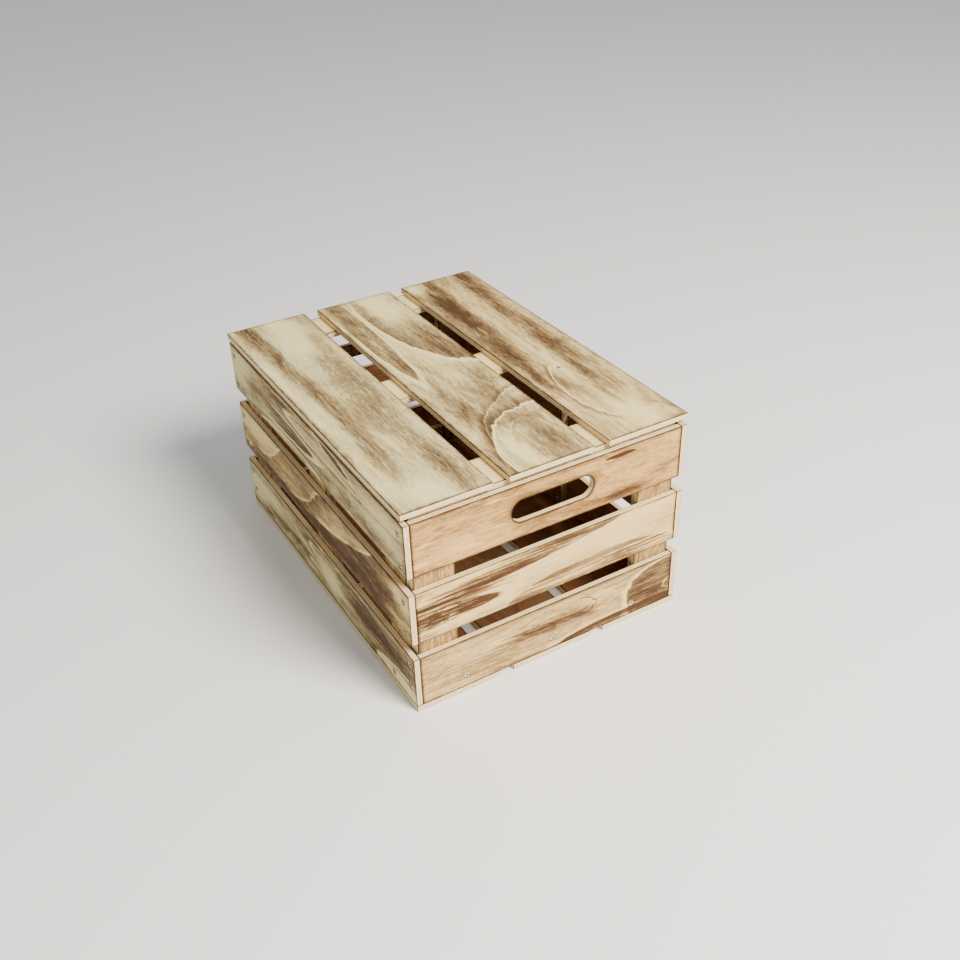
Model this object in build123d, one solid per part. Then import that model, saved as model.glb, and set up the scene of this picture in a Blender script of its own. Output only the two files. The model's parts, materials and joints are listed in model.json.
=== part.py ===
"""Wooden apple crate with slatted plywood walls, a slatted bottom and a lift-off lid.

Millimetres. X runs across the crate, Y along it and Z up. The origin is the middle of the
underside. The end wall at -Y is called the front and the long wall at -X the left.
"""
from build123d import *
import os

# Overall sizes of the box without its lid
crate_length = 492.0
crate_width = 360.0

# Wall slats, three to a wall
slat_height = 67.5
slat_gap = 21.5
wall_thickness = 7.5
end_slat_clearance = 0.4
arris = 0.5

# Hand hole in the top slat of each end
hand_hole_length = 105.0
hand_hole_height = 28.0

# Bottom boards, which lie under the walls
bottom_board_gap = 18.0
bottom_board_thickness = 8.0

# Cleats that stand inside the walls, and the strips along the bottom
cleat_width = 50.0
cleat_thickness = 11.0
end_cleat_side_gap = 2.5
bottom_rail_height = 28.0

# Lid
lid_side_overhang = 1.5
lid_end_inset = 2.0
lid_slat_gap = 19.0
lid_thickness = 7.5
lid_batten_width = 53.0
lid_batten_thickness = 7.5
lid_rim_gap = 6.0
lid_batten_end_clearance = 1.5
lid_batten_side_clearance = 3.0
lid_seat_clearance = 0.3

# Countersunk wood screws
screw_radius = 1.75
screw_head_radius = 3.5
screw_head_rim = 0.3
screw_head_sink = 0.7
screw_point_length = 3.0
screw_hole_clearance = 0.12
screw_hole_end_clearance = 0.4
recess_length = 3.8
recess_width = 0.9
recess_depth = 1.3
corner_screw_length = 30.0
short_screw_length = 16.0
lid_screw_length = 12.0
bottom_screw_length = 19.0

# Where the screws stand
corner_screw_from_top = 15.0
corner_screw_from_bottom = 11.0
lowest_corner_screw_height = 22.0
foot_screw_from_end = 54.0
foot_screw_height = 10.5
end_screw_height = 14.5
end_screw_inset = 5.0
cleat_screw_edge = 11.0
cleat_screw_rise = 15.0
board_screw_spread = 27.0
batten_screw_spread = 12.0

# What repeats, and where it stands
ENDS = {"front": -1, "back": 1}
SIDES = {"left": -1, "right": 1}
LEVELS = {"bottom": 0, "middle": 1, "top": 2}
ROWS = {"left": -1, "centre": 0, "right": 1}
STATIONS = {"front": -1, "middle": 0, "back": 1}


def share_of_row(span, gap):
    """Width of one board in a row that fills a span with gaps between."""
    return (span - (len(ROWS) - 1) * gap) / len(ROWS)


# Levels and faces worked out from the sizes above
half_length = crate_length / 2
half_width = crate_width / 2
floor_top = bottom_board_thickness
bottom_board_width = share_of_row(crate_width, bottom_board_gap)
slat_pitch = slat_height + slat_gap
rim = floor_top + LEVELS["top"] * slat_pitch + slat_height
inner_x = half_width - wall_thickness
inner_y = half_length - wall_thickness
lid_underside = rim + lid_rim_gap
lid_batten_underside = lid_underside - lid_batten_thickness
cleat_top = min(lid_batten_underside - lid_seat_clearance, rim)
end_cleat_outer_x = inner_x - end_cleat_side_gap
end_cleat_inner_x = end_cleat_outer_x - cleat_width
end_cleat_back_y = inner_y - cleat_thickness
side_cleat_face_x = inner_x - cleat_thickness
side_cleat_middle_y = end_cleat_back_y - cleat_width / 2
lid_half_length = half_length - lid_end_inset
lid_half_width = half_width + lid_side_overhang
lid_slat_width = share_of_row(2 * lid_half_width, lid_slat_gap)
lid_batten_half_length = inner_x - lid_batten_side_clearance
lid_batten_end_y = inner_y - lid_batten_end_clearance - lid_batten_width / 2


def slat_bottom(level):
    """Height of the lower edge of a wall slat."""
    return floor_top + level * slat_pitch


def slat_middle(level):
    return slat_bottom(level) + slat_height / 2


def row_x(row, half_span, width):
    """Middle of a board in a row of three that is flush with both sides."""
    return row * (half_span - width / 2)


def board(x, y, z, size_x, size_y, size_z):
    """A sawn board with eased arrises, by its middle and its sizes."""
    plain = Pos(x, y, z) * Box(size_x, size_y, size_z)
    return chamfer(plain.edges(), arris)


def between(x0, x1, y0, y1, z0, z1):
    """A board by its two opposite corners."""
    return board((x0 + x1) / 2, (y0 + y1) / 2, (z0 + z1) / 2, abs(x1 - x0), abs(y1 - y0), z1 - z0)


# ---------------------------------------------------------------- screws

def turned(points):
    """A solid of revolution about Z from its outline in the XZ plane."""
    outline = make_face(Polyline([(r, 0, z) for r, z in points], close=True))
    return revolve(outline, Axis.Z)


def screw_shape(length):
    """Countersunk screw that points down, with the wood's surface at zero."""
    head = -screw_head_sink
    neck = head - screw_head_rim - (screw_head_radius - screw_radius)
    body = turned([
        (0, head),
        (screw_head_radius, head),
        (screw_head_radius, head - screw_head_rim),
        (screw_radius, neck),
        (screw_radius, -length + screw_point_length),
        (0, -length),
    ])
    place = Pos(0, 0, head - recess_depth / 2)
    body -= place * Box(recess_length, recess_width, recess_depth)
    body -= place * Box(recess_width, recess_length, recess_depth)
    return body


def hole_shape(length):
    """The hole that a screw of this length stands in, open above the surface."""
    wide = screw_head_radius + screw_hole_clearance
    narrow = screw_radius + screw_hole_clearance
    seat = -screw_head_sink - screw_head_rim - screw_hole_clearance
    return turned([
        (0, 1),
        (wide, 1),
        (wide, seat),
        (narrow, seat - (wide - narrow)),
        (narrow, -length - screw_hole_end_clearance),
        (0, -length - screw_hole_end_clearance),
    ])


SCREWS = {}
HOLES = []
SHAPES = {}


def add_screw(node, point, outward, length):
    """Place a screw whose head faces outward, and remember its hole."""
    if length not in SHAPES:
        SHAPES[length] = (screw_shape(length), hole_shape(length))
    screw, hole = SHAPES[length]
    place = Location(Plane(origin=point, z_dir=outward))
    SCREWS.setdefault(node, []).append(place * screw)
    HOLES.append(place * hole)


def boxes_meet(a, b):
    return all(
        low < high
        for low, high in (
            (a.min.X, b.max.X), (b.min.X, a.max.X),
            (a.min.Y, b.max.Y), (b.min.Y, a.max.Y),
            (a.min.Z, b.max.Z), (b.min.Z, a.max.Z),
        )
    )


def drilled(piece):
    """The piece with every screw hole that reaches it cut out."""
    limits = piece.bounding_box()
    for hole in HOLES:
        if boxes_meet(limits, hole.bounding_box()):
            piece -= hole
    return piece


def place_corner_screws():
    """Through the side slats into the edges of the end cleats."""
    y = end_cleat_back_y + cleat_thickness / 2
    for side, sx in SIDES.items():
        for level in LEVELS.values():
            low = lowest_corner_screw_height if level == 0 else corner_screw_from_bottom
            for height in (low, slat_height - corner_screw_from_top):
                for sy in ENDS.values():
                    point = (sx * half_width, sy * y, slat_bottom(level) + height)
                    add_screw(f"corner_screws_{side}", point, (sx, 0, 0), corner_screw_length)


def place_foot_screws():
    """Through the bottom side slats into the feet of the side cleats."""
    for side, sx in SIDES.items():
        for sy in ENDS.values():
            point = (sx * half_width, sy * (half_length - foot_screw_from_end), floor_top + foot_screw_height)
            add_screw(f"foot_screws_{side}", point, (sx, 0, 0), short_screw_length)


def place_end_screws():
    """Through the bottom end slats into the rails along the floor."""
    reach = end_cleat_inner_x - end_screw_inset
    for end, sy in ENDS.items():
        for x in (-reach, 0, reach):
            point = (x, sy * half_length, floor_top + end_screw_height)
            add_screw(f"end_screws_{end}", point, (0, sy, 0), short_screw_length)


def place_end_cleat_screws():
    """From inside, through the end cleats into the end slats, past the corner screws' points."""
    inner = end_cleat_inner_x + cleat_screw_edge
    outer = half_width - corner_screw_length - cleat_screw_edge / 2
    for end, sy in ENDS.items():
        for sx in SIDES.values():
            for level in LEVELS.values():
                for x, rise in ((inner, -cleat_screw_rise), (outer, cleat_screw_rise)):
                    point = (sx * x, sy * end_cleat_back_y, slat_middle(level) + rise)
                    add_screw(f"end_cleat_screws_{end}", point, (0, -sy, 0), short_screw_length)


def place_side_cleat_screws():
    """From inside, through the side cleats into the side slats."""
    spread = cleat_width / 2 - cleat_screw_edge
    for side, sx in SIDES.items():
        for station in STATIONS.values():
            for level in LEVELS.values():
                for hand in (-1, 1):
                    y = station * side_cleat_middle_y + hand * spread
                    z = slat_middle(level) + hand * cleat_screw_rise
                    add_screw(
                        f"side_cleat_screws_{side}",
                        (sx * side_cleat_face_x, y, z),
                        (-sx, 0, 0),
                        short_screw_length,
                    )


def place_bottom_screws():
    """From below, through the bottom boards into the rails, the cleats' feet and the batten."""
    end_y = end_cleat_back_y + cleat_thickness / 2
    for row in ROWS.values():
        middle = row_x(row, half_width, bottom_board_width)
        for hand in (-1, 1):
            x = middle + hand * board_screw_spread
            for y in (-end_y, hand * batten_screw_spread, end_y):
                length = bottom_screw_length if abs(y) == end_y else short_screw_length
                add_screw("bottom_screws", (x, y, 0), (0, 0, -1), length)


def place_lid_screws():
    """From below, through the lid battens into the lid slats."""
    for station in STATIONS.values():
        for row in ROWS.values():
            middle = row_x(row, lid_half_width, lid_slat_width)
            for hand in (-1, 1):
                point = (
                    middle + hand * board_screw_spread,
                    station * lid_batten_end_y + hand * batten_screw_spread,
                    lid_batten_underside,
                )
                add_screw("lid_screws", point, (0, 0, -1), lid_screw_length)


# ---------------------------------------------------------------- boards

def side_slat(sx, level):
    return between(
        sx * inner_x, sx * half_width,
        -half_length, half_length,
        slat_bottom(level), slat_bottom(level) + slat_height,
    )


def end_slat(sy, level):
    reach = inner_x - end_slat_clearance
    return between(
        -reach, reach,
        sy * inner_y, sy * half_length,
        slat_bottom(level), slat_bottom(level) + slat_height,
    )


def hand_hole(sy):
    """Cutter with round ends for the hand hole in a top end slat."""
    y = sy * (inner_y + half_length) / 2
    plane = Plane(origin=(0, y, slat_middle(LEVELS["top"])), z_dir=(0, 1, 0), x_dir=(1, 0, 0))
    outline = plane * SlotOverall(hand_hole_length, hand_hole_height)
    return extrude(outline, wall_thickness, both=True)


def top_end_slat(sy):
    plain = end_slat(sy, LEVELS["top"]) - hand_hole(sy)
    faces = plain.faces().filter_by(Axis.Y).sort_by(SortBy.AREA)[-2:]
    rims = [edge for face in faces for wire in face.inner_wires() for edge in wire.edges()]
    return chamfer(rims, arris)


def end_cleat(sy, sx):
    return between(
        sx * end_cleat_inner_x, sx * end_cleat_outer_x,
        sy * end_cleat_back_y, sy * inner_y,
        floor_top, cleat_top,
    )


def side_cleat(sx, station):
    middle = station * side_cleat_middle_y
    return between(
        sx * side_cleat_face_x, sx * inner_x,
        middle - cleat_width / 2, middle + cleat_width / 2,
        floor_top, cleat_top,
    )


def bottom_board(row):
    x = row_x(row, half_width, bottom_board_width)
    return board(x, 0, floor_top / 2, bottom_board_width, crate_length, bottom_board_thickness)


def bottom_rail(sy):
    return between(
        -end_cleat_inner_x, end_cleat_inner_x,
        sy * end_cleat_back_y, sy * inner_y,
        floor_top, floor_top + bottom_rail_height,
    )


def bottom_batten():
    return between(
        -side_cleat_face_x, side_cleat_face_x,
        -cleat_width / 2, cleat_width / 2,
        floor_top, floor_top + cleat_thickness,
    )


def lid_slat(row):
    x = row_x(row, lid_half_width, lid_slat_width)
    z = lid_underside + lid_thickness / 2
    return board(x, 0, z, lid_slat_width, 2 * lid_half_length, lid_thickness)


def lid_batten(station):
    z = lid_batten_underside + lid_batten_thickness / 2
    y = station * lid_batten_end_y
    return board(0, y, z, 2 * lid_batten_half_length, lid_batten_width, lid_batten_thickness)


# ---------------------------------------------------------------- nodes

def make_boards():
    """Every wooden piece by its name, before drilling."""
    boards = {}
    for level_name, level in LEVELS.items():
        for side, sx in SIDES.items():
            boards[f"side_slat_{side}_{level_name}"] = side_slat(sx, level)
        for end, sy in ENDS.items():
            slat = top_end_slat(sy) if level_name == "top" else end_slat(sy, level)
            boards[f"end_slat_{end}_{level_name}"] = slat
    for side, sx in SIDES.items():
        for end, sy in ENDS.items():
            boards[f"end_cleat_{end}_{side}"] = end_cleat(sy, sx)
        for station_name, station in STATIONS.items():
            boards[f"side_cleat_{side}_{station_name}"] = side_cleat(sx, station)
    for row_name, row in ROWS.items():
        boards[f"bottom_board_{row_name}"] = bottom_board(row)
        boards[f"lid_slat_{row_name}"] = lid_slat(row)
    for end, sy in ENDS.items():
        boards[f"bottom_rail_{end}"] = bottom_rail(sy)
    boards["bottom_batten_middle"] = bottom_batten()
    for station_name, station in STATIONS.items():
        boards[f"lid_batten_{station_name}"] = lid_batten(station)
    return boards


def place_all_screws():
    place_corner_screws()
    place_foot_screws()
    place_end_screws()
    place_end_cleat_screws()
    place_side_cleat_screws()
    place_bottom_screws()
    place_lid_screws()


def main():
    os.makedirs("parts", exist_ok=True)
    place_all_screws()
    for name, piece in make_boards().items():
        export_step(drilled(piece), f"parts/{name}.step")
    for name, screws in SCREWS.items():
        export_step(Compound(children=screws), f"parts/{name}.step")


main()
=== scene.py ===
"""Looks of a slatted plywood apple crate with a lift-off lid, laid out as a Blender add-on.

Every board is modelled at its CAD board's place, drilled for its screws and given its own
veneer. Sizes are metres in the frame's own axes: X across the crate, Y along it, Z up.
"""

import json
import math
import random
from collections import namedtuple

import bpy
from bpy.props import FloatProperty, FloatVectorProperty, IntProperty, PointerProperty
from mathutils import Matrix, Vector


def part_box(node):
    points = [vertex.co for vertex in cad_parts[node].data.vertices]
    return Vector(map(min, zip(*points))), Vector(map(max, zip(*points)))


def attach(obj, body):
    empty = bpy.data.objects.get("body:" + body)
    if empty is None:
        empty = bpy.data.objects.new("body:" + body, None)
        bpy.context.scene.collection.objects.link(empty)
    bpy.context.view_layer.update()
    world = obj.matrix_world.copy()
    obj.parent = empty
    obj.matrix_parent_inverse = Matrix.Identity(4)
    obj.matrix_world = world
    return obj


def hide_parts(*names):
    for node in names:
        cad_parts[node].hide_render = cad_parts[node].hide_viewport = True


bl_info = {
    "name": "Apple crate",
    "version": (1, 0, 0),
    "blender": (4, 5, 0),
    "location": "3D View > Sidebar > Crate",
    "description": "Models and finishes a slatted plywood apple crate round its CAD frame",
    "category": "Object",
}

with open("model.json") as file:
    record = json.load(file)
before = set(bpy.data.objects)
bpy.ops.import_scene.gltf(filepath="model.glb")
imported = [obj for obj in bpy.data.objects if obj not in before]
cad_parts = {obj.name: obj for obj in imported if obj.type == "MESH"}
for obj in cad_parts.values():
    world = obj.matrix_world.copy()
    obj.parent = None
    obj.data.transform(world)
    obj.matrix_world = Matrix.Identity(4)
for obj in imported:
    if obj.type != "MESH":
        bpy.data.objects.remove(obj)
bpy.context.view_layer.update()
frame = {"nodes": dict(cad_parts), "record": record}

MM = 0.001
AXIS_X = Vector((1, 0, 0))
AXIS_Y = Vector((0, 1, 0))
AXIS_Z = Vector((0, 0, 1))

SLOT_OF = {part["node"]: part["material_slot"] for part in frame["record"]["subparts"]}
BODY_OF = {
    node: body
    for body, nodes in frame["record"]["behaviour"]["bodies"].items()
    for node in nodes
}
SCREW_NODES = [node for node, slot in SLOT_OF.items() if slot == "screw_steel"]

# Directions of a board: along its grain, up its width, and out of its good face
Lay = namedtuple("Lay", "along up out")
LAYS = {
    "lid_slat": Lay(AXIS_Y, AXIS_X, AXIS_Z),
    "lid_batten": Lay(AXIS_X, AXIS_Y, AXIS_Z),
    "bottom_board": Lay(AXIS_Y, AXIS_X, -AXIS_Z),
    "bottom_rail_front": Lay(AXIS_X, AXIS_Z, -AXIS_Y),
    "bottom_rail_back": Lay(-AXIS_X, AXIS_Z, AXIS_Y),
    "bottom_batten": Lay(AXIS_X, AXIS_Y, -AXIS_Z),
    "end_slat_front": Lay(AXIS_X, AXIS_Z, -AXIS_Y),
    "end_slat_back": Lay(-AXIS_X, AXIS_Z, AXIS_Y),
    "side_slat_left": Lay(-AXIS_Y, AXIS_Z, -AXIS_X),
    "side_slat_right": Lay(AXIS_Y, AXIS_Z, AXIS_X),
    "end_cleat_front": Lay(AXIS_Z, AXIS_X, -AXIS_Y),
    "end_cleat_back": Lay(AXIS_Z, AXIS_X, AXIS_Y),
    "side_cleat_left": Lay(AXIS_Z, AXIS_Y, -AXIS_X),
    "side_cleat_right": Lay(AXIS_Z, AXIS_Y, AXIS_X),
}

# Figure of a board, in millimetres from its start and from its lower edge. A patch is a soft
# scorched place, or a pale one where its strength is below zero. A loop is a crisp growth line
# round an ellipse, darker inside or outside, with its turn in degrees. Its keep fades it out on
# one side: the last number is its strength at the middle, and the first two are how much that
# grows towards the line, along and up. A veneer's base is how far it is burnt all over, its rings
# and lines are how strongly those show, and its warmth tints it, coolly where it is below zero.
# The tints are partly the boards' own tone and partly painted light: the strong warm tint of the
# front wall stands for its warm lit face, and the cool tint of most of the left wall for its shade.
Patch = namedtuple("Patch", "along up length width strength")
WHOLE = (0, 0, 1)
Loop = namedtuple("Loop", "along up length width turn inner outer depth rim keep", defaults=(WHOLE,))
Veneer = namedtuple("Veneer", "base rings lines warmth patches loops")

VENEERS = {
    "lid_slat_left": Veneer(
        base=0.16, rings=0.25, lines=0.2, warmth=-0.35,
        patches=[
            Patch(60, 86, 190, 34, 0.3), Patch(75, 80, 100, 26, 0.25), Patch(190, 76, 180, 44, 0.33),
            Patch(300, 80, 240, 50, 0.26), Patch(390, 88, 110, 24, 0.15), Patch(110, 30, 130, 26, 0.4),
            Patch(215, 36, 230, 26, 0.36), Patch(300, 30, 240, 22, 0.38), Patch(400, 26, 180, 22, 0.42),
            Patch(470, 20, 120, 26, 0.7), Patch(150, 55, 330, 40, 0.1), Patch(20, 45, 50, 40, -0.2),
            Patch(120, 55, 70, 12, -0.15), Patch(420, 65, 220, 50, -0.22), Patch(300, 8, 300, 10, -0.15),
        ],
        loops=[],
    ),
    "lid_slat_centre": Veneer(
        base=0.18, rings=0.3, lines=0.15, warmth=-0.05,
        patches=[
            Patch(25, 78, 110, 60, 0.36), Patch(92, 70, 40, 70, 0.2), Patch(35, 38, 80, 26, -0.25),
            Patch(130, 35, 90, 50, 0.28), Patch(160, 30, 90, 26, 0.28), Patch(175, 70, 110, 60, 0.22),
            Patch(210, 88, 60, 30, 0.18), Patch(185, 50, 130, 90, 0.14), Patch(315, 88, 120, 36, 0.4),
            Patch(360, 82, 110, 40, 0.26), Patch(290, 22, 80, 16, 0.35), Patch(390, 18, 160, 24, 0.26),
            Patch(460, 18, 120, 26, 0.34), Patch(450, 70, 170, 60, -0.25), Patch(215, 58, 70, 30, -0.15),
        ],
        loops=[
            Loop(20, 108, 210, 194, 0, 0.0, 0.5, 22, 0.35),
            Loop(22, 118, 286, 206, 0, 0.0, 0.3, 9, 0.25, (1.7, 0, 0.8)),
            Loop(22, 112, 168, 150, 0, 0.12, 0.0, 10, 0.1, (1.7, 0.5, 0.8)),
            Loop(430, 112, 370, 144, 0, 0.5, 0.0, 26, 0.35, (-1.8, 0, 0.8)),
            Loop(400, 20, 330, 28, 0, 0.42, 0.0, 12, 0.2, (-1.7, 0.3, 0.8)),
        ],
    ),
    "lid_slat_right": Veneer(
        base=0.24, rings=0.25, lines=0.25, warmth=0.15,
        patches=[
            Patch(150, 70, 120, 16, 0.5), Patch(190, 80, 120, 22, 0.35), Patch(225, 78, 70, 24, 0.45),
            Patch(300, 80, 160, 26, 0.34), Patch(345, 78, 60, 18, 0.2), Patch(385, 82, 110, 26, 0.42),
            Patch(450, 88, 150, 30, 0.55), Patch(475, 92, 60, 20, 0.3), Patch(260, 90, 260, 20, 0.2),
            Patch(120, 60, 130, 10, 0.15), Patch(130, 32, 70, 14, 0.35), Patch(150, 15, 90, 14, 0.5),
            Patch(200, 18, 120, 22, 0.45), Patch(235, 18, 110, 20, 0.35), Patch(300, 25, 200, 30, 0.5),
            Patch(370, 26, 160, 34, 0.8), Patch(400, 30, 120, 22, 0.3), Patch(450, 38, 160, 20, 0.55),
            Patch(420, 20, 150, 20, 0.25), Patch(300, 8, 360, 12, 0.3), Patch(40, 60, 110, 60, -0.15),
            Patch(230, 50, 360, 10, -0.14), Patch(478, 15, 50, 26, -0.3),
        ],
        loops=[
            Loop(105, 60, 160, 76, 0, 0.0, 0.3, 6, 0.5, (0, -4, -1.6)),
            Loop(165, 49, 6, 5, 0, 1.6, 0.0, 3, 0.0),
        ],
    ),
    "end_slat_front_top": Veneer(
        base=0.22, rings=0.2, lines=0.2, warmth=0.9,
        patches=[
            Patch(60, 60, 200, 10, 0.15), Patch(270, 7, 70, 14, 0.6), Patch(200, 10, 220, 14, 0.2),
            Patch(120, 32, 60, 14, 0.12), Patch(235, 40, 26, 20, 0.15), Patch(320, 22, 60, 30, 0.15),
            Patch(20, 36, 18, 5, -0.5), Patch(12, 12, 26, 7, -0.5), Patch(66, 12, 24, 6, -0.5),
            Patch(97, 58, 20, 5, -0.4), Patch(45, 22, 100, 30, -0.08),
        ],
        loops=[
            Loop(262, 58.5, 40, 4.6, 0, 2.6, 0.0, 6, 0.0),
        ],
    ),
    "end_slat_front_middle": Veneer(
        base=0.06, rings=0.1, lines=1.3, warmth=0.5,
        patches=[
            Patch(0, 26, 250, 27, 0.9), Patch(30, 27, 170, 18, 0.62), Patch(90, 50, 170, 16, 0.6),
            Patch(60, 42, 140, 14, 0.7), Patch(150, 59, 180, 9, 0.4), Patch(220, 63, 130, 7, 0.35),
            Patch(-10, 62, 110, 10, 0.7), Patch(5, 43, 120, 8, 0.8), Patch(12, 51, 50, 8, -0.6),
            Patch(70, 64, 50, 8, -0.8), Patch(262, 8, 80, 16, 0.6), Patch(300, 12, 60, 10, 0.4),
            Patch(150, 6, 180, 10, 0.15), Patch(10, 8, 40, 6, 0.5), Patch(10, 15, 40, 4, -0.3),
        ],
        loops=[
            Loop(-30, 25, 272, 26, 0, 0.9, 0.0, 20, 0.35), Loop(60, 66, 440, 48, 2, 0.4, 0.0, 20, 0.15),
            Loop(235, -6, 250, 66, 0, 0.3, 0.0, 22, 0.0), Loop(322, 14.5, 46, 2.6, 0, 0.9, 0.0, 2, 0.0),
        ],
    ),
    "end_slat_front_bottom": Veneer(
        base=0.27, rings=0.15, lines=0.3, warmth=0.42,
        patches=[
            Patch(160, 36, 90, 18, 0.5), Patch(180, 36, 120, 22, 0.35), Patch(215, 30, 50, 14, 0.4),
            Patch(120, 30, 200, 20, 0.15), Patch(60, 16, 140, 14, 0.15), Patch(318, 30, 80, 34, 0.45),
            Patch(320, 14, 90, 26, 0.5), Patch(300, 50, 60, 14, 0.3), Patch(250, 6, 130, 10, 0.5),
            Patch(60, 50, 160, 26, -0.1), Patch(240, 52, 60, 14, -0.1),
        ],
        loops=[
            Loop(205, 43, 50, 25, 0, 0.0, 1.0, 2.2, 0.0, (2, 0, 0.4)),
            Loop(168, 37, 110, 8, -6, 0.35, 0.0, 4, 0.2), Loop(345, 24, 142, 84, 0, 0.6, 0.0, 38, 0.35),
            Loop(300, -2, 260, 28, 0, 1.1, 0.0, 14, 0.25), Loop(354, 26, 50, 22, 0, -0.2, 0.2, 5, 0.45),
            Loop(354, 46, 30, 16, 0, 0.0, 0.2, 5, 0.4),
        ],
    ),
    "side_slat_left_top": Veneer(
        base=0.25, rings=0.3, lines=0.25, warmth=-0.3,
        patches=[
            Patch(190, 27, 130, 11, 0.4), Patch(100, 32, 150, 20, 0.3), Patch(230, 60, 140, 12, 0.3),
            Patch(150, 56, 150, 14, 0.2), Patch(400, 12, 180, 24, 0.28), Patch(370, 12, 40, 14, 0.2),
            Patch(300, 22, 160, 14, 0.15), Patch(25, 45, 100, 66, -0.3), Patch(450, 45, 130, 46, -0.3),
            Patch(470, 20, 50, 30, -0.15), Patch(280, 30, 120, 10, -0.1),
        ],
        loops=[
            Loop(150, 27, 224, 20, 0, 0.7, 0.0, 10, 0.6, (2, 0, 0.8)),
            Loop(330, 52, 304, 26, 0, 0.0, 0.25, 8, 0.45, (-1.2, -1.3, 0.8)),
            Loop(190, -6, 220, 34, 0, 0.0, 0.3, 8, 0.45, (-0.7, 0.8, 0.8)),
            Loop(325, 58, 82, 8, -8, 1.0, 0.0, 6, 0.4),
        ],
    ),
    "side_slat_left_middle": Veneer(
        base=0.36, rings=0.3, lines=0.3, warmth=0.3,
        patches=[
            Patch(40, 50, 160, 40, -0.4), Patch(110, 58, 120, 20, -0.3), Patch(240, 8, 520, 18, 0.46),
            Patch(120, 12, 160, 14, 0.25), Patch(340, 14, 180, 28, 0.5), Patch(400, 28, 150, 50, 0.66),
            Patch(380, 40, 90, 24, 0.3), Patch(180, 14, 80, 12, 0.2), Patch(100, 6, 120, 12, 0.2),
            Patch(220, 46, 60, 26, 0.25), Patch(475, 50, 60, 34, -0.5), Patch(455, 18, 60, 14, -0.35),
            Patch(20, 14, 30, 10, -0.3),
        ],
        loops=[
            Loop(109, 68, 160, 50, 30, -0.04, 0.22, 24, 0.22, (0, -2.5, -0.5)),
            Loop(223, 64, 190, 50, 30, -0.06, 0.27, 26, 0.25, (0, -2.5, -0.5)),
            Loop(342, 66, 230, 50, 19, -0.18, 0.42, 28, 0.28, (0, -2.5, -0.5)),
        ],
    ),
    "side_slat_left_bottom": Veneer(
        base=0.27, rings=0.3, lines=0.3, warmth=-0.45,
        patches=[
            Patch(20, 28, 90, 44, -0.4), Patch(60, 40, 160, 26, -0.3), Patch(268, 30, 70, 46, -0.45),
            Patch(240, 38, 50, 10, -0.3), Patch(120, 20, 140, 16, 0.4), Patch(60, 8, 40, 8, 0.5),
            Patch(180, 26, 80, 12, 0.4), Patch(170, 58, 200, 10, 0.2), Patch(400, 44, 230, 42, 0.64),
            Patch(380, 36, 150, 44, 0.35), Patch(440, 40, 120, 30, 0.4), Patch(330, 55, 160, 14, 0.3),
            Patch(460, 8, 120, 18, -0.7),
        ],
        loops=[
            Loop(262, 48, 120, 18, 0, 0.0, 0.35, 6, 0.45, (-2, 0, 0.8)),
            Loop(235, 22, 64, 12, 0, 0.0, 0.3, 5, 0.4, (-2, 0, 0.8)),
            Loop(500, 4, 210, 44, 0, 0.0, 0.3, 8, 0.45),
        ],
    ),
}

# Cleats, rails and battens are planed softwood with a plain figure. The cleats' and rails' strip is
# toasted and warmed: painted shade, for the cleats that stand in the recesses inside the walls
STRIP_AND_RECESS_SHADE = Veneer(base=0.36, rings=0.1, lines=0.2, warmth=0.6, patches=[], loops=[])
LID_STRIP = Veneer(base=0.04, rings=0.1, lines=0.2, warmth=0.1, patches=[], loops=[])


# ---- settings

def colour_setting(name, description, default, high=1.0):
    return FloatVectorProperty(
        name=name, description=description, default=default, size=3, min=0.0, max=high, subtype="COLOR",
    )


def length_setting(name, description, default, low=0.0):
    return FloatProperty(name=name, description=description, default=default, min=low, unit="LENGTH")


class CrateWoodSettings(bpy.types.PropertyGroup):
    rounding: length_setting(
        "Arris rounding", "Radius that sandpaper leaves on the edges of a board", 0.7 * MM,
    )
    waviness: length_setting("Waviness", "How far the surface of a board wanders from flat", 0.15 * MM)
    section: length_setting(
        "Section length", "Length of board between two rows of points", 16 * MM, low=0.002,
    )
    hand_hole_length: length_setting(
        "Hand hole length", "Length of the hand hole over its round ends", 105 * MM,
    )
    hand_hole_height: length_setting("Hand hole height", "Height of the hand hole", 28 * MM)
    hole_flare: length_setting(
        "Hole flare", "How much wider a screw hole is at the surface, where its edge has worn", 0.45 * MM,
    )


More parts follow.
